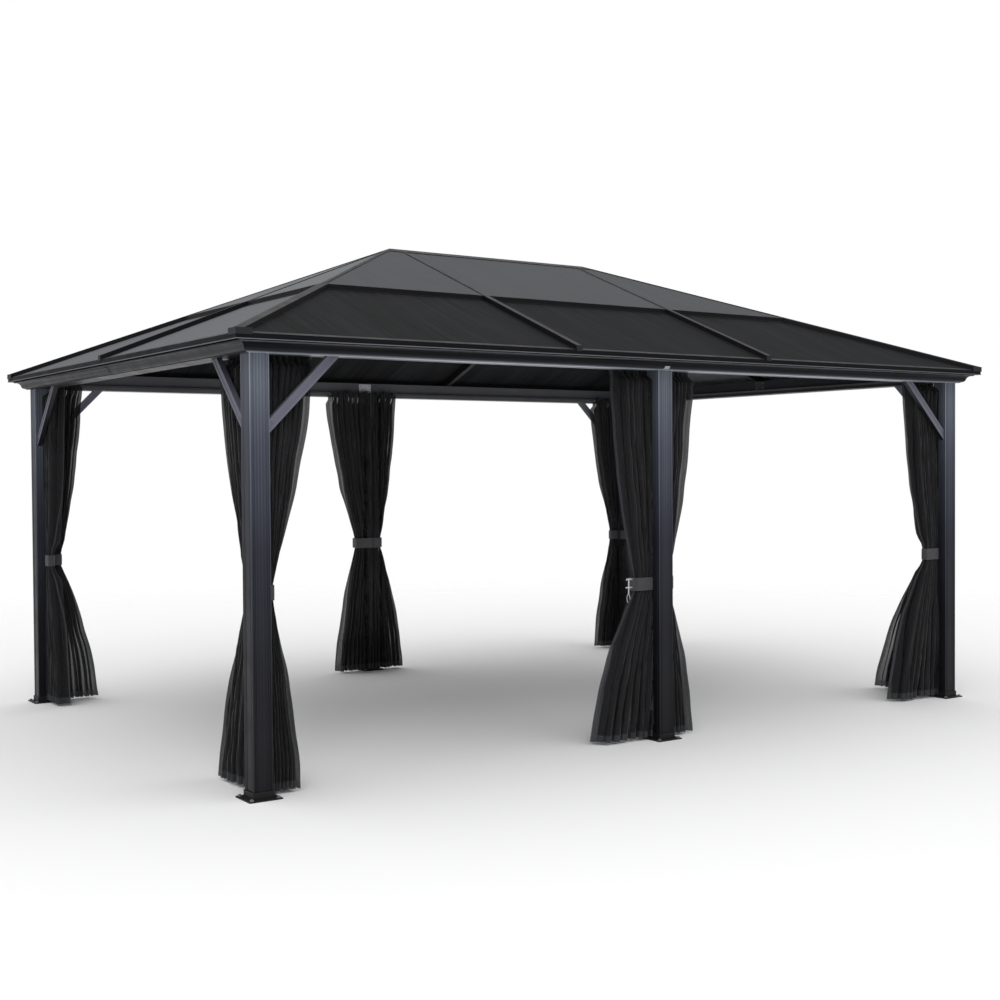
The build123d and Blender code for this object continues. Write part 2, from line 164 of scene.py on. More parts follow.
def wave_of(tree, direction, pitch, distortion=0.0, source="Object"):
    # Parallel lines, one every pitch metres.
    wave = tree.nodes.new("ShaderNodeTexWave")
    wave.bands_direction = direction
    wave.inputs["Scale"].default_value = math.pi / 10 / pitch
    wave.inputs["Distortion"].default_value = distortion
    link(tree, place_of(tree, source=source), wave.inputs["Vector"])
    return wave.outputs["Fac"]


def mix(tree, fac, a, b, kind="MIX"):
    node = tree.nodes.new("ShaderNodeMix")
    node.data_type = "RGBA"
    node.blend_type = kind
    for name, value in (("Factor", fac), ("A", a), ("B", b)):
        socket = [s for s in node.inputs if s.name == name and s.enabled][0]
        if isinstance(value, tuple):
            socket.default_value = (*value, 1)
        elif isinstance(value, (int, float)):
            socket.default_value = value
        else:
            link(tree, value, socket)
    return [s for s in node.outputs if s.enabled][0]


def toned(tree, colour, tone):
    # A colour made lighter or darker by a number.
    grey = tree.nodes.new("ShaderNodeCombineColor")
    for socket in grey.inputs[:3]:
        link(tree, tone, socket)
    return mix(tree, 1.0, colour, grey.outputs["Color"], "MULTIPLY")


def ramp_of(tree, value, stops):
    node = tree.nodes.new("ShaderNodeValToRGB")
    elements = node.color_ramp.elements
    while len(elements) < len(stops):
        elements.new(0.5)
    for element, (position, colour) in zip(elements, stops):
        element.position = position
        element.color = (*colour, 1)
    link(tree, value, node.inputs["Fac"])
    return node.outputs["Color"]


def bump_of(tree, shader, height, strength, distance):
    node = tree.nodes.new("ShaderNodeBump")
    node.inputs["Strength"].default_value = strength
    node.inputs["Distance"].default_value = distance
    link(tree, height, node.inputs["Height"])
    link(tree, node.outputs["Normal"], shader.inputs["Normal"])


# Coats, net and webbing
flute_pitch = 0.0165
edge_highlight_reach = (0.0465, 0.0495)  # where the painted highlight on a post's edge starts, and where it is full
# Strength of the painted highlight on the posts' edges
painted_edge_highlight = (2.6, 2.6, 2.6)
painted_inner_reach = {"X": 2.60, "Y": 1.80}  # the beams' inner sides lie within this of the middle, where they get painted light on the long beams and painted shade on the short ones
under_shade_normal = (-0.35, -0.6)  # height of the normal where the painted shade on faces that look down starts, and where it is full
coat_grain = 0.25
coat_grain_depth = 0.0004
sheet_rib_pitch = 0.01
sheet_rib_depth = 0.0006
thread_pitch = 1 / 400
thread_depth = 0.0005
webbing_rib_pitch = 1 / 600
webbing_rib_depth = 0.0006


def powder_coat(tree, shader, colour, rough, grain=coat_grain):
    # Faint blotches, a slight change of gloss and a fine orange-peel grain.
    blotch = spread(tree, noise_of(tree, 2.2, 4.0), 0.90, 1.10)
    link(tree, toned(tree, colour, blotch), shader.inputs["Base Color"])
    gloss = spread(tree, noise_of(tree, 9.0), rough - 0.05, rough + 0.07)
    link(tree, gloss, shader.inputs["Roughness"])
    bump_of(tree, shader, noise_of(tree, 900.0, 2.0), grain, coat_grain_depth)


def coated_metal(name, colour, rough, specular, grain=coat_grain):
    mat, tree, shader = new_material(name, specular)
    powder_coat(tree, shader, colour, rough, grain)
    return mat


def height_shaded_metal(name, low, high, stops, rough, specular, flute_shading=0.0, inner=None):
    # A coat with painted light and shade that follows the height of the profile, as painted
    # highlights on its lips and a post that darkens towards the bottom.
    mat, tree, shader = new_material(name, specular)
    height = remap(tree, part_of(tree, "Z"), low / 1000, high / 1000, 0, 1)
    colour = ramp_of(tree, height, stops)
    if flute_shading:
        # Painted highlight and shade in stripes, one to each flute.
        for direction in ("X", "Y"):
            wave = wave_of(tree, direction, flute_pitch)
            line = remap(tree, wave, 0.0, 1.0, 1 - flute_shading, 1 + flute_shading)
            colour = toned(tree, colour, line)
        # Painted highlights on the four rounded edges of each post.
        end_posts = away_of(tree, "X", post_lines_x[-1] / 1000)
        beside_x = math_of(tree, "MINIMUM", away_of(tree, "X"), end_posts)
        beside_y = away_of(tree, "Y", post_lines_y[-1] / 1000)
        edge = math_of(tree, "MINIMUM", remap(tree, beside_x, *edge_highlight_reach, 0, 1),
                       remap(tree, beside_y, *edge_highlight_reach, 0, 1))
        colour = mix(tree, edge, colour, painted_edge_highlight, "MULTIPLY")
    # Painted light on the long beams' inner sides, painted shade on the short beams' inner sides.
    if inner:
        inner_side_mask = [math_of(tree, "LESS_THAN", away_of(tree, axis), reach)
                  for axis, reach in painted_inner_reach.items()]
        colour = mix(tree, math_of(tree, "MULTIPLY", *inner_side_mask), colour, inner)
    powder_coat(tree, shader, colour, rough)
    return mat


def under_shaded_metal(name, colour, under_shade, rough, specular):
    # A coat with painted shade on the faces that look down, into the open channel.
    mat, tree, shader = new_material(name, specular)
    down_shade = remap(tree, part_of(tree, "Z", "Normal"), *under_shade_normal, 0, 1)
    powder_coat(tree, shader, mix(tree, down_shade, colour, under_shade), rough)
    return mat


def end_shaded_metal(name, middle, ends, reach, rough, specular):
    # One coat near the middle of the long sides, and beyond that reach along them a dark one as
    # painted shade.
    mat, tree, shader = new_material(name, specular)
    beyond_shade = remap(tree, away_of(tree, "X"), reach, reach + 0.01, 0, 1)
    powder_coat(tree, shader, mix(tree, beyond_shade, middle, ends), rough)
    return mat


def roof_sheet(name, colour, rough, specular, across, streak):
    # Smoked twin-wall sheet: fine ribs down the slope and long soft streaks.
    mat, tree, shader = new_material(name, specular)
    stretch = (1, 0.03, 0.03) if across == "X" else (0.03, 1, 0.03)
    wide = noise_of(tree, 9.0, 3.0, stretch)
    fine = noise_of(tree, 70.0, 2.0, stretch)
    shade = math_of(tree, "MULTIPLY", spread(tree, wide, 1 - streak, 1 + streak),
                    spread(tree, fine, 1 - streak * 0.8, 1 + streak * 0.8))
    link(tree, toned(tree, colour, shade), shader.inputs["Base Color"])
    link(tree, spread(tree, wide, rough - 0.04, rough + 0.06), shader.inputs["Roughness"])
    bump_of(tree, shader, wave_of(tree, across, sheet_rib_pitch), 0.35, sheet_rib_depth)
    return mat


def net_cloth(name, colour, thin, thick):
    # Open net: the weave lets part of the light through, denser in some folds than in others.
    mat, tree, shader = new_material(name, 0.25)
    shader.inputs["Roughness"].default_value = 0.75
    shader.inputs["Sheen Weight"].default_value = 0.12
    shader.inputs["Sheen Roughness"].default_value = 0.4
    warp = noise_of(tree, 26.0, 3.0, (1, 0.05, 1), "UV")
    link(tree, toned(tree, colour, spread(tree, warp, 0.75, 1.3)), shader.inputs["Base Color"])
    lines = [wave_of(tree, direction, thread_pitch, 0.6, "UV") for direction in ("X", "Y")]
    weave = math_of(tree, "MAXIMUM", *lines)
    cover = math_of(tree, "ADD", remap(tree, weave, 0.2, 0.9, -0.10, 0.10),
                    spread(tree, warp, thin, thick))
    link(tree, cover, shader.inputs["Alpha"])
    bump_of(tree, shader, weave, 0.4, thread_depth)
    return mat


def webbing(name, colour):
    mat, tree, shader = new_material(name)
    shader.inputs["Roughness"].default_value = 0.8
    shader.inputs["Sheen Weight"].default_value = 0.25
    tone = spread(tree, noise_of(tree, 40.0, 3.0), 0.85, 1.2)
    link(tree, toned(tree, colour, tone), shader.inputs["Base Color"])
    bump_of(tree, shader, wave_of(tree, "Z", webbing_rib_pitch, 1.0), 0.5, webbing_rib_depth)
    return mat


# Painted light and shade from the bottom (0) to the top (1) of each profile: posts darker towards
# the bottom, painted highlights on the lips of beams and trim
post_height_shading = [
    (0.0, (0.006, 0.0062, 0.008)),
    (0.30, (0.011, 0.0115, 0.015)),
    (0.55, (0.022, 0.024, 0.034)),
    (0.8, (0.060, 0.066, 0.087)),
    (1.0, (0.130, 0.147, 0.180)),
]
long_beam_painted_light = [
    (0.0, (0.40, 0.42, 0.47)),
    (0.03, (0.27, 0.285, 0.335)),
    (0.06, (0.036, 0.039, 0.050)),
    (0.10, (0.020, 0.021, 0.027)),
    (0.20, (0.010, 0.0105, 0.013)),
    (0.24, (0.005, 0.005, 0.0065)),
    (0.41, (0.004, 0.004, 0.005)),
    (0.44, (0.12, 0.125, 0.14)),
    (0.475, (0.24, 0.25, 0.275)),
    (0.50, (0.040, 0.041, 0.046)),
]
short_beam_painted_light = [
    (0.0, (0.032, 0.033, 0.036)),
    (0.06, (0.036, 0.037, 0.041)),
    (0.20, (0.040, 0.041, 0.045)),
    (0.24, (0.034, 0.035, 0.038)),
    (0.41, (0.030, 0.031, 0.034)),
    (0.44, (0.07, 0.072, 0.078)),
    (0.475, (0.10, 0.103, 0.11)),
    (0.50, (0.03, 0.031, 0.034)),
]
trim_painted_light = [
    (0.0, (0.15, 0.155, 0.17)),
    (0.11, (0.14, 0.145, 0.16)),
    (0.16, (0.006, 0.006, 0.0075)),
    (0.8, (0.007, 0.007, 0.0085)),
    (1.0, (0.014, 0.0145, 0.016)),
]
# The posts are painted darker towards the bottom and lighter at the top, as shade and light.
slate = height_shaded_metal("post_slate", 0.0, beam_bottom, post_height_shading, 0.36, 0.18, flute_shading=0.20)
# Painted highlights on the lips of the long beams, and painted light on their inner sides.
charcoal = height_shaded_metal("beam_charcoal", beam_bottom, beam_top, long_beam_painted_light, 0.36, 0.08,
                        inner=(0.10, 0.102, 0.112))
# The short sides' beams: a copy of the coat with its own painted light, dimmer lips and a lighter
# cove, and painted shade on the inner side.
charcoal_short_painted_light = height_shaded_metal("beam_charcoal_short_painted_light", beam_bottom, beam_top, short_beam_painted_light,
                              0.36, 0.08, inner=(0.022, 0.0225, 0.025))
# Painted highlight on the trim's lower lip.
trim = height_shaded_metal("trim_charcoal", trim_bottom, trim_top, trim_painted_light, 0.42, 0.08)
black = coated_metal("bar_dark", (0.006, 0.006, 0.007), 0.5, 0.2)
fascia = coated_metal("fascia_dark", (0.008, 0.008, 0.0095), 0.42, 0.12)
cap = coated_metal("cap_dark", (0.008, 0.008, 0.0095), 0.45, 0.12)
foot = coated_metal("foot_black", (0.007, 0.007, 0.008), 0.5, 0.3)
# Painted shade on the brace's faces that look down.
brace_shaded_under = under_shaded_metal("brace_grey", (0.145, 0.147, 0.190), (0.008, 0.008, 0.010), 0.42, 0.35)
light_grey = coated_metal("splice_grey", (0.42, 0.43, 0.45), 0.5, 0.4)
rail = coated_metal("rail_grey", (0.05, 0.05, 0.055), 0.4, 0.4)
end_grey = coated_metal("end_grey", (0.016, 0.017, 0.020), 0.42, 0.25)
# The splice plates on the short sides are painted dark as shade.
splice_shaded_ends = end_shaded_metal("splice_plates", (0.55, 0.56, 0.58), (0.02, 0.02, 0.022), 2.0, 0.5, 0.3)
steel = coated_metal("hook_steel", (0.62, 0.63, 0.65), 0.3, 0.6, 0.0)
screw = coated_metal("screw_head", (0.14, 0.14, 0.16), 0.35, 0.6, 0.0)
net = net_cloth("net_black", (0.0085, 0.0085, 0.0100), 0.80, 0.93)
hem = net_cloth("net_hem", (0.032, 0.034, 0.038), 0.86, 0.96)
band_cloth = webbing("band_grey", (0.038, 0.038, 0.042))
# The sheets on the short sides are painted lighter than those on the long sides: lit and shaded
# copies of the same sheet.
upper_long_shaded = roof_sheet("sheet_upper_long_shaded", (0.062, 0.064, 0.069), 0.46, 0.02, "X", 0.07)
upper_short_lit = roof_sheet("sheet_upper_short_lit", (0.095, 0.099, 0.106), 0.42, 0.08, "Y", 0.07)
lower_long_shaded = roof_sheet("sheet_lower_long_shaded", (0.015, 0.0155, 0.0165), 0.50, 0.007, "X", 0.30)
lower_short_lit = roof_sheet("sheet_lower_short_lit", (0.080, 0.084, 0.091), 0.42, 0.06, "Y", 0.12)

looks = {
    "foot_black": foot,
    "post_slate": slate,
    "beam_charcoal": charcoal,
    "trim_charcoal": trim,
    "splice_grey": splice_shaded_ends,
    "brace_grey": brace_shaded_under,
    "bar_dark": black,
    "fascia_dark": fascia,
    "end_grey": end_grey,
    "cap_dark": cap,
    "net_black": net,
    "band_grey": band_cloth,
    "rail_grey": rail,
}
sheet_looks = {"upper": (upper_long_shaded, upper_short_lit), "lower": (lower_long_shaded, lower_short_lit)}
slots = {entry["node"]: entry["material_slot"] for entry in frame["record"]["subparts"]}
for name, obj in nodes.items():
    # Lit and shaded copies: the short sides' sheets are painted lighter.
    if slots[name].startswith("sheet"):
        shaded_on_long_side, lit_on_short_side = sheet_looks[slots[name].split("_")[1]]
        look = shaded_on_long_side if name.endswith(long_sides) else lit_on_short_side
    # The short sides' beams take their copy with its own painted light and shade.
    elif name in ("gutter_beam_left", "gutter_beam_right"):
        look = charcoal_short_painted_light
    else:
        look = looks[slots[name]]
    obj.data.materials.clear()
    obj.data.materials.append(look)


# Placing and making of pieces
# A curtain's post is -1, 0 or 1 along its side, and its hand is the way it spreads from there.
# Its widths are at the rail, at the band and at the hem, and tie is the band's lower edge.
Curtain = namedtuple("Curtain", "side post hand top_width waist hem_width tie")


def turned(point, side):
    # From the front side's frame, in millimetres, to metres on any side of the gazebo.
    x, y, z = point
    if side == "back":
        x, y = -x, -y
    elif side == "left":
        x, y = y - hip_setback, -x
    elif side == "right":
        x, y = hip_setback - y, x
    return (x / 1000, y / 1000, z / 1000)


def to_world(point, spec):
    # From a curtain's own frame, in millimetres beside its post, to metres in the gazebo's frame.
    x, y, z = point
    reach = hip_setback if spec.side in long_sides else 0.0
    x = spec.post * (reach + outer_face - post_size / 2) + spec.hand * (post_size / 2 + x)
    return turned((x, y - outer_face, z), spec.side)


def add_piece(name, mesh):
    obj = bpy.data.objects.new(name, mesh)
    scene.collection.objects.link(obj)
    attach(obj, "root")
    return obj


def mesh_piece(name, verts, faces, material, smooth_faces=True):
    mesh = bpy.data.meshes.new(name)
    mesh.from_pydata(verts, [], faces)
    work = bmesh.new()
    work.from_mesh(mesh)
    bmesh.ops.recalc_face_normals(work, faces=work.faces)
    work.to_mesh(mesh)
    work.free()
    for poly in mesh.polygons:
        poly.use_smooth = smooth_faces
    mesh.materials.append(material)
    return add_piece(name, mesh)


def add_walls(faces, first, rings, sides):
    # Joins neighbouring rings of points, the first of which starts at the given one.
    for i in range(rings - 1):
        for k in range(sides):
            a, b = first + i * sides + k, first + i * sides + (k + 1) % sides
            faces.append((a, b, b + sides, a + sides))


def tube_along(path, radius, verts, faces, sides=8):
    # Adds a round tube with closed ends along a line of points.
    points = [Vector(p) for p in path]
    first = len(verts)
    for i, p in enumerate(points):
        ahead = points[min(i + 1, len(points) - 1)] - points[max(i - 1, 0)]
        ahead = ahead.normalized()
        across = ahead.cross(Vector((0.3, 0.2, 1.0))).normalized()
        up = ahead.cross(across)
        for k in range(sides):
            angle = 2 * math.pi * k / sides
            verts.append(p + radius * (across * math.cos(angle) + up * math.sin(angle)))
    add_walls(faces, first, len(points), sides)
    faces.append(tuple(first + k for k in reversed(range(sides))))
    last = first + (len(points) - 1) * sides
    faces.append(tuple(last + k for k in range(sides)))


# Curtains: the sizes are those of the solids that they replace, in millimetres
waist_start = 3.1
hem_start = 8.0
bulge = 0.62  # how far the free edge swells between rail, band and hem
ease = 120.0  # over which the cloth opens out above and below the band
deep = (46.0, 148.0)  # outer and inner side of the cloth, from the posts' outer face
deep_waist = (54.0, 98.0)
wrap_waist = 132.0  # inner side of the cloth that wraps behind a middle post
wrap_end = -post_size / 2 + 3.4
rail_gap = 0.4
long_bay_width = 1.40
short_bay_width = 1.85

curtains = {
    "front_left": [
        Curtain("front", -1, 1, 275, 40, 170, 960),
        Curtain("left", 1, -1, 400, 95, 450, 960),
    ],
    "front_middle": [
        Curtain("front", 0, -1, 255, 120, 402, 880),
        Curtain("front", 0, 1, 218, 50, 195, 880),
    ],
    "front_right": [
        Curtain("front", 1, -1, 285, 130, 430, 953),
        Curtain("right", -1, 1, 215, 90, 485, 953),
    ],
    "back_left": [
        Curtain("back", 1, -1, 212, 67, 298, 945),
        Curtain("left", -1, 1, 225, 80, 260, 945),
    ],
    "back_middle": [
        Curtain("back", 0, 1, 322, 88, 250, 978),
        Curtain("back", 0, -1, 160, 26, 200, 978),
    ],
    "back_right": [
        Curtain("back", -1, 1, 290, 75, 240, 960),
        Curtain("right", 1, -1, 230, 80, 260, 960),
    ],
}

# The cloth's grid and its folds
folds_per_metre = 5.7
half_fold_steps = 6
hook_column = half_fold_steps * 3 // 2
rows_below = 22
rows_held = 5
rows_above = 34
top_clearance = 2.0  # under the rail
margin = 1.0  # between the net and the outline that it fills
wrap_margin = 1.5
flap = 0.032  # share of the width that hangs flat at the free edge
flap_blend = 0.05
still = 0.03  # share of the width over which the folds start beside the post
free_above = 500.0  # from the band, until the folds run freely
free_below = 450.0
lean = 2.0  # how far the folds lean over one another
lean_lost = 0.9
lean_fade = (100, 800)  # below the band
rim_inset = 7.0
wrapped_from = 3.0  # beside a middle post, where the cloth comes to its outer side
wrapped_to = 30.0
wrapped_blend = 20.0
wrapped_share = 0.95
wrapped_inset = 4.0
near_share = 0.05  # beside a corner post it does so over this share of its width
near_inset = 3.0
fold_widths = (0.6, 1.4)
fold_heights = (0.70, 1.0)
height_at_ends = 0.25  # share of a fold's height that stays in the flap and beside the post
crease_room = (10, 30)  # half the depth in which creases start, and are full

# Room for the cloth round its post, and under the beam
post_gap = 4.0
post_gap_free = 4.5
post_side = (2.6, 3.4)  # between these the cloth steps from the post's back to its outer side
back_gap = 2.5
corner_step = 3.0
under_beam = (54, 4)  # below the beam, where the cloth starts to move back from it, and is clear

# The gathered heading with its frill, and the uneven hem
heading_height = 160.0
heading_drop = 9.0
heading_wave = 5.0
uneven_hang = 3.0
frill_depth = (121.0, 134.0)  # where the frill starts, and where it stands to its full height
frill_lift = 11.0
frill_waves = ((10.0, 34.0), (5.0, 71.0))  # each as (height, turns over the width, in radians)
hem_ease = 120.0
hem_top = 82.0
tape_width = 0.028
glider_depth = 109.3
hook_depth = 112.0
hook_wire = 0.0011  # radius, in metres
glider_wheel = 0.0022
glider_outline = ((-5, 1.6), (-4, 2.6), (4, 2.6), (5, 1.6))  # along the rail, and below it

# Noises that keep the folds uneven, each with its step for a half fold, for a millimetre of
# height and for a curtain, and its start. That of the free edge has no step for a half fold.
drift_noise = (0.35, 0.0016, 3.7, 0)
sway_noise = (0.25, 0.003, 1.3, 9)
depth_noise = (0.8, 0.006, 2.1, 4)
crease_noise = (1.7, 0.02, 0.7, 2)
edge_noise = (0.007, 5.3, 1.5)
drift = 1.7  # radians
sway = 6.0
edge_sway = 9.0
depth_change = 0.18
crease = 3.0

Folds = namedtuple("Folds", "seed outward count frill knots heights hangs")


def smooth(value, low, high):
    t = min(max((value - low) / (high - low), 0.0), 1.0)
    return t * t * (3 - 2 * t)


def eased(values, t):
    # The value at place t of a list, smoothly blended between its neighbours.
    i = min(int(t), len(values) - 2)
    return values[i] + (values[i + 1] - values[i]) * smooth(t - i, 0.0, 1.0)


def through(z, points):
    # The parabola through three (z, value) points.
    total = 0.0
    for i, (zi, vi) in enumerate(points):
        for j, (zj, _) in enumerate(points):
            if i != j:
                vi *= (z - zj) / (zi - zj)
        total += vi
    return total


def uneven(field, t, z, seed):
    per_step, per_height, per_curtain, start = field
    return noise.noise(Vector((t * per_step, z * per_height, seed * per_curtain + start)))


def far_edge(z, spec):
    # The free edge, drawn in by the band and swelling out above and below it.
    held = spec.tie + band_height
    top = rail_bottom - rail_gap
    edge = waist_start + spec.waist
    hem_edge = hem_start + spec.hem_width
    if z > held:
        middle = edge + bulge * (spec.top_width - spec.waist)
        top_edge = waist_start + spec.top_width
        return through(z, [(held, edge), ((held + top) / 2, middle), (top, top_edge)])
    if z < spec.tie:
        middle = edge + bulge * (hem_edge - edge)
        half_way = (floor_gap + spec.tie) / 2
        return through(z, [(floor_gap, hem_edge), (half_way, middle), (spec.tie, edge)])
    return edge


def near_edge(z, tie):
    return waist_start + (hem_start - waist_start) * smooth(tie - z, 0, tie)


def depths(x, z, spec):
    # The room between the outer and the inner side of the curtain, clear of post and beam.
    wraps = spec.post == 0
    held = spec.tie + band_height
    away = max(smooth(z, held, held + ease), smooth(spec.tie - z, 0, ease))
    back_waist = wrap_waist if wraps else deep_waist[1]
    low = deep_waist[0] + (deep[0] - deep_waist[0]) * away
    high = back_waist + (deep[1] - back_waist) * away
    if wraps:
        behind = post_size + post_gap + post_gap_free * away
        low = behind + (low - behind) * smooth(x, *post_side)
    else:
        high = min(high, post_size - back_gap + max(x, corner_step))
    beam_near = [beam_bottom - drop for drop in under_beam]
    low += (beam_back - low) * smooth(z, *beam_near)
    return low + margin, high - margin


def rise(y, z, s, phase, hang, frill):
    # How far a point stands over its row, in the heading and in the hem.
    lift = 0.0
    if z > rail_bottom - heading_height:
        near_top = smooth(z, rail_bottom - heading_height, rail_bottom - top_clearance)
        lift = near_top * (-heading_drop + heading_wave * math.sin(phase) + uneven_hang * hang)
        if y > frill_depth[0]:
            (wide, wide_turns), (fine, fine_turns) = frill_waves
            waves = wide + wide * math.sin(frill + wide_turns * s)
            waves += fine * math.sin(frill + fine_turns * s)
            lift += near_top * (frill_lift + waves) * smooth(y, *frill_depth)
    if z < hem_ease:
        lift += (1 - smooth(z, floor_gap, hem_ease)) * (uneven_hang + uneven_hang * hang)
    return lift


def faces_outward(spec):
    # Whether the free edge's rim belongs on the cloth's outer side, to show in the picture.
    def to_the_right(step):
        start, end = to_world((0, 0, 0), spec), to_world(step, spec)
        return sum(right * (b - a) for right, a, b in zip(camera_right, start, end))
    return to_the_right((100, 0, 0)) * to_the_right((0, 100, 0)) < 0


def build_gliders(name, hooks, spec):
    # A wire hook from each pleat up to a small wheel block under the rail.
    verts, faces = [], []
    for x, y, z in hooks:
        y = min(y, hook_depth)
        bend = [(x, y, z - 5), (x, y - 1.5, z), (x, (y + glider_depth) / 2, rail_bottom - 4),
                (x, glider_depth, rail_bottom - 1)]
        tube_along([to_world(p, spec) for p in bend], hook_wire, verts, faces, 6)
        block = [(x + step, glider_depth, rail_bottom - drop) for step, drop in glider_outline]
        tube_along([to_world(p, spec) for p in block], glider_wheel, verts, faces)
    return mesh_piece(name, verts, faces, light_grey)


def plan_folds(spec, flat_width, seed):
    # Folds of uneven width, depth and hang, the same on each run.
    rng = random.Random(seed)
    count = round(flat_width * folds_per_metre)
    frill = rng.uniform(0, 6.28)
    share = [rng.uniform(*fold_widths) for _ in range(2 * count)]
    total = sum(share)
    knots = [0.0]
    for part in share:
        knots.append(knots[-1] + part / total)
    heights = [rng.uniform(*fold_heights) for _ in range(2 * count + 1)]
    hangs = [rng.uniform(-1, 1) for _ in range(2 * count + 1)]
    return Folds(seed, faces_outward(spec), count, frill, knots, heights, hangs)


def row_heights(tie):
    # The rows of the cloth's grid, from the hem up to the rail.
    held = tie + band_height
    above = rail_bottom - top_clearance - held
    rows = [floor_gap + (tie - floor_gap) * i / rows_below for i in range(rows_below + 1)]
    rows += [tie + band_height * i / rows_held for i in range(1, rows_held)]
    return rows + [held + above * i / rows_above for i in range(rows_above + 1)]


def row_points(z, spec, folds):
    # One row of the net in the curtain's own frame, from the post to the free edge.
    seed, tie = folds.seed, spec.tie
    held = tie + band_height
    wraps = spec.post == 0
    x0 = wrap_end + wrap_margin if wraps else near_edge(z, tie) + margin
    x1 = far_edge(z, spec) - margin
    free = max(smooth(z, held, held + free_above), smooth(tie - z, 0, free_below))
    loose = lean - lean_lost * smooth(tie - z, *lean_fade)
    pitch = (x1 - x0) / (2 * math.pi * folds.count)
    per_height, per_curtain, start = edge_noise
    swing = noise.noise(Vector((z * per_height, seed * per_curtain, start)))
    steps = 2 * folds.count * half_fold_steps
    points = []
    for i in range(steps + 1):
        t = i / half_fold_steps
        u = i / steps
        s = eased(folds.knots, t)
        folded = smooth(u, 0.0, still) * smooth(1 - u, flap, flap + flap_blend)
        phase = math.pi * t + uneven(drift_noise, t, z, seed) * drift * free

        # Along the side: the folds lean over one another, and the flap hangs flat.
        x = x0 + (x1 - x0) * (s * (1 - flap) if free else s)
        if u > 1 - flap:
            x = x + (x1 - x) * smooth(u, 1 - flap, 1.0)
        x = x - loose * pitch * math.sin(2 * phase) * folded
        x += sway * free * uneven(sway_noise, t, z, seed)
        x += edge_sway * free * u * swing
        x = max(x, x0)

        # In depth: from the outer to the inner side and back for each fold.
        low, high = depths(x, z, spec)
        half_depth = (high - low) / 2
        tall = eased(folds.heights, t) * (height_at_ends + (1 - height_at_ends) * folded)
        y = (low + high) / 2 + half_depth * tall * math.sin(phase)
        y += half_depth * depth_change * free * uneven(depth_noise, t, z, seed)
        y += crease * uneven(crease_noise, t, z, seed) * smooth(half_depth, *crease_room)
        if u > 1 - flap - still:
            rim = low + rim_inset if folds.outward else high - rim_inset
            y += (rim - y) * smooth(u, 1 - flap - still, 1.0) * free
        if wraps and wrapped_from < x < wrapped_to:
            flat = smooth(wrapped_to - x, 0.0, wrapped_blend)
            y += (low + wrapped_inset - y) * wrapped_share * flat
        if not wraps and u < near_share:
            y += (low + near_inset - y) * smooth(near_share - u, 0.0, still) * free
        y = min(max(y, low), high)
        if wraps and y < post_size + back_gap:
            x = max(x, waist_start)
        lift = rise(y, z, s, phase, eased(folds.hangs, t), folds.frill)
        points.append((x, y, z + lift))
    return points


def build_cloth(name, spec, flat_width, seed):
    folds = plan_folds(spec, flat_width, seed)
    rows = row_heights(spec.tie)
    grid = [row_points(z, spec, folds) for z in rows]
    verts = [to_world(point, spec) for row in grid for point in row]
    hooks = grid[-1][hook_column::2 * half_fold_steps]
    columns = len(grid[0])
    faces = []
    for r in range(len(rows) - 1):
        for c in range(columns - 1):
            a = r * columns + c
            faces.append((a, a + 1, a + 1 + columns, a + columns))
    mesh = bpy.data.meshes.new(name)
    mesh.from_pydata(verts, [], faces)
    layer = mesh.uv_layers.new(name="cut")
    for poly in mesh.polygons:
        for loop in poly.loop_indices:
            r, c = divmod(mesh.loops[loop].vertex_index, columns)
            layer.data[loop].uv = (flat_width * c / (columns - 1), rows[r] / 1000)
        r, c = divmod(poly.index, columns - 1)
        from_edge = min(c, columns - 2 - c) * flat_width / (columns - 1)
        poly.material_index = 1 if rows[r + 1] < hem_top or from_edge < tape_width else 0
        poly.use_smooth = True
    mesh.materials.append(net)
    mesh.materials.append(hem)
    obj = add_piece(name, mesh)
    gliders = build_gliders(name.replace("curtain", "gliders"), hooks, spec)
    return obj


# Bands
band_corner = 13.0
# Half of the band's profile, as (outward, height over its lower edge): an edge and a bead
band_profile = [(0.5, 1.5), (1.2, 0.0), (2.3, 1.2), (2.5, 5.0), (1.9, 7.0), (2.4, 10.0)]
band_swell = 2.6


def rounded(points, radius, steps=5):
    # A closed outline with its corners rounded.
    path = []
    count = len(points)
    for i, point in enumerate(points):
        p = Vector(point)
        a = Vector(points[i - 1]) - p
        b = Vector(points[(i + 1) % count]) - p
        r = min(radius, a.length * 0.45, b.length * 0.45)
        start = p + a.normalized() * r
        end = p + b.normalized() * r
        for k in range(steps + 1):
            f = k / steps
            path.append((1 - f) ** 2 * start + 2 * f * (1 - f) * p + f * f * end)
    return path


def grown(path, amount):
    # Moves a closed outline outwards along its own normals.
    count = len(path)
    area = sum(path[i - 1].x * path[i].y - path[i].x * path[i - 1].y for i in range(count))
    sign = 1 if area > 0 else -1
    moved = []
    for i in range(count):
        t = path[(i + 1) % count] - path[i - 1]
        t = t.normalized() if t.length > 1e-6 else Vector((1, 0))
        moved.append(path[i] + Vector((t.y, -t.x)) * amount * sign)
    return moved


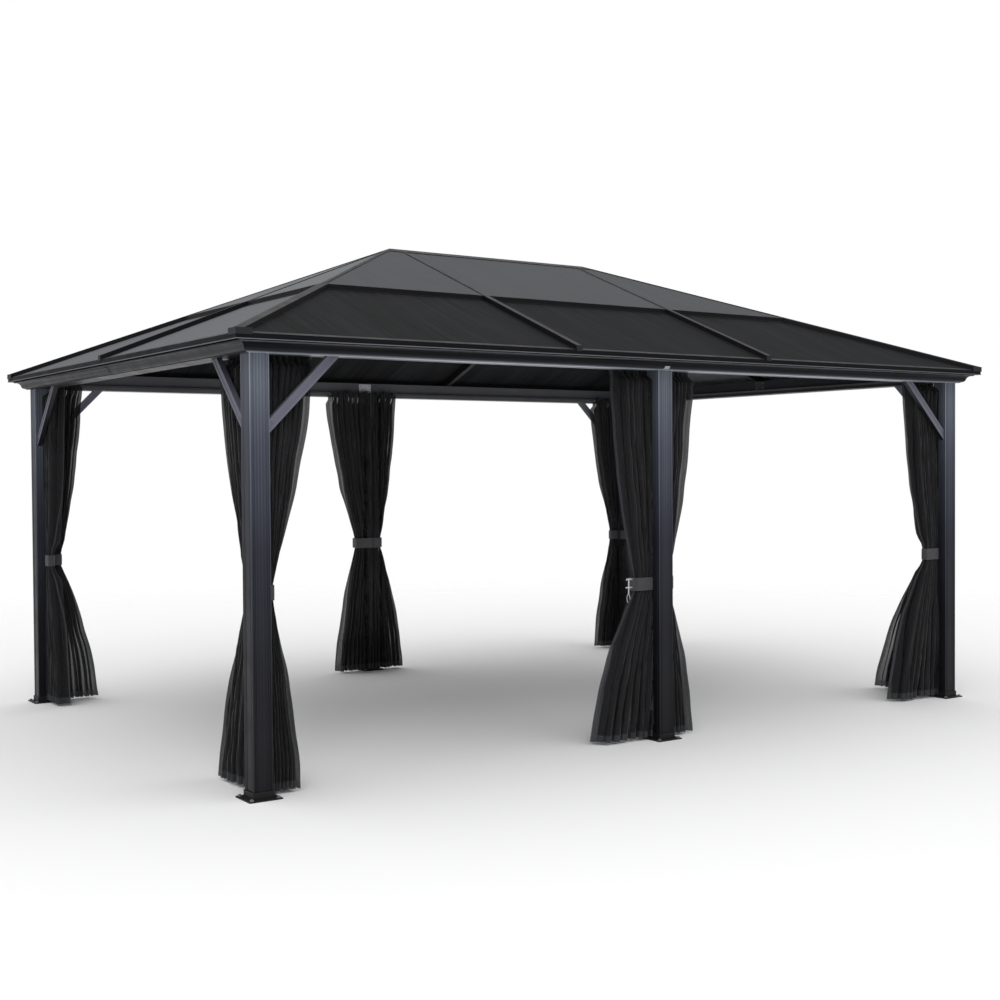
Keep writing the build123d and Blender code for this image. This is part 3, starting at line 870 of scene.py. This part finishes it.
def build_band(name, spec):
    # A profile swept round the gathered cloth, and at a middle post also behind the post.
    near, edge = waist_start, waist_start + spec.waist
    outer, inner = deep_waist
    if spec.post == 0:
        behind = post_size + waist_start
        corners = [(near, outer), (edge, outer), (edge, wrap_waist),
                   (wrap_end, wrap_waist), (wrap_end, behind), (near, behind)]
    else:
        corners = [(near, outer), (edge, outer), (edge, inner), (near, inner)]
    path = rounded(corners, band_corner)
    low, high = spec.tie + 1.0, spec.tie + band_height - 1.0
    profile = [(out, low + over) for out, over in band_profile]
    profile.append((band_swell, (low + high) / 2))
    profile += [(out, high - over) for out, over in reversed(band_profile)]
    verts, faces = [], []
    for out, z in profile:
        verts += [to_world((p.x, p.y, z), spec) for p in grown(path, out)]
    n = len(path)
    for r in range(len(profile)):
        q = (r + 1) % len(profile)
        for i in range(n):
            j = (i + 1) % n
            faces.append((r * n + i, r * n + j, q * n + j, q * n + i))
    obj = mesh_piece(name, verts, faces, band_cloth)
    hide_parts("tie_bands")
    return obj


# Screws and bolts, in millimetres as the solids and in metres for their own heads
brace_faces = (15.0, 45.0)  # from the posts' outer face
brace_screws = ((24, 334), (334, 24))  # along the beam from the post, and down from the beam
screw_sink = 2.2
plate_face = 102.4  # the splice plates' inner side
plate_middle = 2234.3  # their height
plate_screws = (36, 20)  # half the distances between them
bolt_step = 71.0  # from a post's middle to its anchor holes
foot_plate_top = 0.006
brace_head = (0.0055, 0.0032)  # radius and height
plate_head = (0.0045, 0.0028)
bolt_head = (0.0115, 0.009)


def add_head(centre, axis, radius, height, verts, faces, sides=16, hexagon=False):
    # A low domed screw head, or a hexagon head on its washer.
    axis = Vector(axis).normalized()
    across = axis.orthogonal().normalized()
    up = axis.cross(across)
    rings = [(radius, 0.0), (radius, height * 0.35)]
    rings += [(radius * 0.8, height * 0.8), (radius * 0.4, height)]
    if hexagon:
        rings = [(radius, 0.0), (radius, height * 0.2), (radius * 0.74, height * 0.22)]
        rings += [(radius * 0.74, height * 0.9), (radius * 0.6, height)]
    first = len(verts)
    for index, (r, h) in enumerate(rings):
        for k in range(sides):
            angle = 2 * math.pi * k / sides
            out = r
            if hexagon and index >= 2:
                part = (angle + math.pi / 6) % (math.pi / 3) - math.pi / 6
                out = r * 0.92 / math.cos(part)
            place = across * math.cos(angle) + up * math.sin(angle)
            verts.append(centre + out * place + axis * h)
    add_walls(faces, first, len(rings), sides)
    last = first + (len(rings) - 1) * sides
    faces.append(tuple(last + k for k in range(sides)))


def joint_line(side):
    # Where the two beams of a side meet, along the side from its middle.
    return splice_offset if side == "back" else -splice_offset


verts, faces = [], []
for side in all_sides:
    corner = (hip_setback if side in long_sides else 0.0) + outer_face - post_size
    out = (Vector(turned((0, -1, 0), side)) - Vector(turned((0, 0, 0), side))).normalized()
    for hand in (-1, 1):
        for from_post, from_beam in brace_screws:
            x = hand * (corner - from_post)
            z = beam_bottom - from_beam
            outer = Vector(turned((x, -outer_face + brace_faces[0] + screw_sink, z), side))
            inner = Vector(turned((x, -outer_face + brace_faces[1] - screw_sink, z), side))
            add_head(outer, out, *brace_head, verts, faces)
            add_head(inner, -out, *brace_head, verts, faces)
    for dx in (-plate_screws[0], plate_screws[0]):
        for dz in (-plate_screws[1], plate_screws[1]):
            place = (joint_line(side) + dx, -outer_face + plate_face, plate_middle + dz)
            add_head(Vector(turned(place, side)), -out, *plate_head, verts, faces)
mesh_piece("frame_screws", verts, faces, screw)

verts, faces = [], []
for x in post_lines_x:
    for y in post_lines_y:
        for dx in (-bolt_step, bolt_step):
            for dy in (-bolt_step, bolt_step):
                centre = Vector(((x + dx) / 1000, (y + dy) / 1000, foot_plate_top))
                add_head(centre, (0, 0, 1), *bolt_head, verts, faces, 24, True)
mesh_piece("anchor_bolts", verts, faces, screw, False)


# Thin strips over the joints of the gutters: light ones on the long sides, and on the short ones
# the same strips painted black as shade. Each follows the gutter's outside, as (reach, lift) from
# the posts' outer face and the beam's bottom.
gutter_under = [(2, 0.2), (20, 0.2)]
gutter_nose = [(24, 5.2), (31, 5.6), (38, 7.6), (43, 11.0), (47, 16.0), (49, 21.5)]
gutter_cove = [(51.9, 29.7), (56.7, 36.5), (63.1, 41.7), (70.6, 45.2)]
light_strip = (1.0, 39.0)  # from the joint
shaded_strip = (-20.0, 20.0)
strip_over = 0.9
strip_under = 0.6

for side in all_sides:
    if side in long_sides:
        shift = 1 if side == "front" else -1
        ends = [shift * end for end in light_strip]
        profile = gutter_nose
        look, slot = light_grey, "splice_grey"
    else:
        ends = shaded_strip
        profile = gutter_under + gutter_nose + gutter_cove
        # Black on the short sides is painted shade on the same strip.
        look, slot = black, "bar_dark"
    verts, faces = [], []
    for end in ends:
        x = joint_line(side) + end
        for offset in (-strip_over, strip_under):
            for reach, lift in profile:
                place = (x, -outer_face - reach + offset, beam_bottom + lift + offset)
                verts.append(turned(place, side))
    n = len(profile)
    loop = list(range(n)) + [2 * n - 1 - k for k in range(n)]
    for a, b in zip(loop, loop[1:] + loop[:1]):
        faces.append((a, b, b + 2 * n, a + 2 * n))
    faces.append(tuple(loop))
    faces.append(tuple(k + 2 * n for k in reversed(loop)))
    mesh_piece(f"gutter_joint_{side}", verts, faces, look, False)


seed = 1
for where, pair in curtains.items():
    for spec in pair:
        tail = f"{where}_{spec.side}_{'a' if spec.hand > 0 else 'b'}"
        flat_width = long_bay_width if spec.side in long_sides else short_bay_width
        cloth = build_cloth(f"curtain_{tail}", spec, flat_width, seed)
        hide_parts(f"curtains_{where}")
        build_band(f"band_{tail}", spec)
        seed += 1


# The steel hook that closes the tie on the left of the front middle post, with its cord loop.
# Its places are (beyond the band's edge, depth, height over the tie), in millimetres.
rod_radius = 0.0038
loop_radius = 0.0018
rods = [
    [(-3, 96, 66), (18, 100, 69), (36, 100, 69), (40, 100, 62)],
    [(22, 100, 69), (23, 100, 30), (23, 100, -8), (23, 100, -22)],
    [(-3, 96, 20), (22, 100, 20), (44, 100, 19)],
]
loop_centre = (25, 100, -44)
loop_reach = (9, 3, 24)
loop_steps = 16

hooked = curtains["front_middle"][0]
edge = waist_start + hooked.waist + 4.0
loop = []
for k in range(loop_steps + 1):
    angle = 2 * math.pi * k / loop_steps
    swing = (math.sin(angle), math.sin(angle), math.cos(angle))
    loop.append([c + r * part for c, r, part in zip(loop_centre, loop_reach, swing)])
verts, faces = [], []
for path, radius, sides in [(rod, rod_radius, 10) for rod in rods] + [(loop, loop_radius, 8)]:
    places = [to_world((edge + x, y, hooked.tie + z), hooked) for x, y, z in path]
    tube_along(places, radius, verts, faces, sides)
mesh_piece("tie_hook", verts, faces, steel)


# Floor and light, in metres
floor_reach = 60
floor_colour = (0.80, 0.80, 0.80, 1)
floor_fade = (4.5, 11.0)  # from the middle, where the floor starts to fade and is gone

corners = [(-floor_reach, -floor_reach, 0), (floor_reach, -floor_reach, 0),
           (floor_reach, floor_reach, 0), (-floor_reach, floor_reach, 0)]
floor_mesh = bpy.data.meshes.new("floor")
floor_mesh.from_pydata(corners, [], [(0, 1, 2, 3)])
floor = bpy.data.objects.new("floor", floor_mesh)
scene.collection.objects.link(floor)
floor_mat, tree, shader = new_material("floor", 0.1)
shader.inputs["Base Color"].default_value = floor_colour
shader.inputs["Roughness"].default_value = 0.9
distance = tree.nodes.new("ShaderNodeVectorMath")
distance.operation = "LENGTH"
link(tree, place_of(tree), distance.inputs[0])
fade = remap(tree, distance.outputs["Value"], *floor_fade, 1.0, 0.0, smooth_step=True)
link(tree, fade, shader.inputs["Alpha"])
floor_mesh.materials.append(floor_mat)

# The sky is bright overhead and dimmer towards the horizon. The backdrop itself is plain white.
dome_tones = [
    (0.0, (0.70, 0.70, 0.70)),
    (0.49, (0.70, 0.70, 0.70)),
    (0.52, (0.40, 0.40, 0.40)),
    (0.68, (0.45, 0.45, 0.46)),
    (0.88, (1.5, 1.5, 1.5)),
]
world = bpy.data.worlds.new("world")
world.use_nodes = True
tree = world.node_tree
background = tree.nodes["Background"]
dome = ramp_of(tree, remap(tree, part_of(tree, "Z", "Generated"), -1, 1, 0, 1), dome_tones)
seen = tree.nodes.new("ShaderNodeLightPath")
backdrop = mix(tree, seen.outputs["Is Camera Ray"], dome, (1.0, 1.0, 1.0))
link(tree, backdrop, background.inputs["Color"])
background.inputs["Strength"].default_value = 1.0
scene.world = world


def area_light(name, place, target, size, power):
    data = bpy.data.lights.new(name, "AREA")
    data.size = size
    data.energy = power
    light = bpy.data.objects.new(name, data)
    scene.collection.objects.link(light)
    light.location = place
    light.rotation_euler = (Vector(target) - Vector(place)).to_track_quat("-Z", "Y").to_euler()
    return light


area_light("key", (-6.0, -9.0, 9.0), (0, 0, 1.5), 5.0, 300)
# The light that the floor sends back up
area_light("fill", (0.0, 0.0, 0.25), (0.0, 0.0, 2.2), 3.0, 20).visible_camera = False
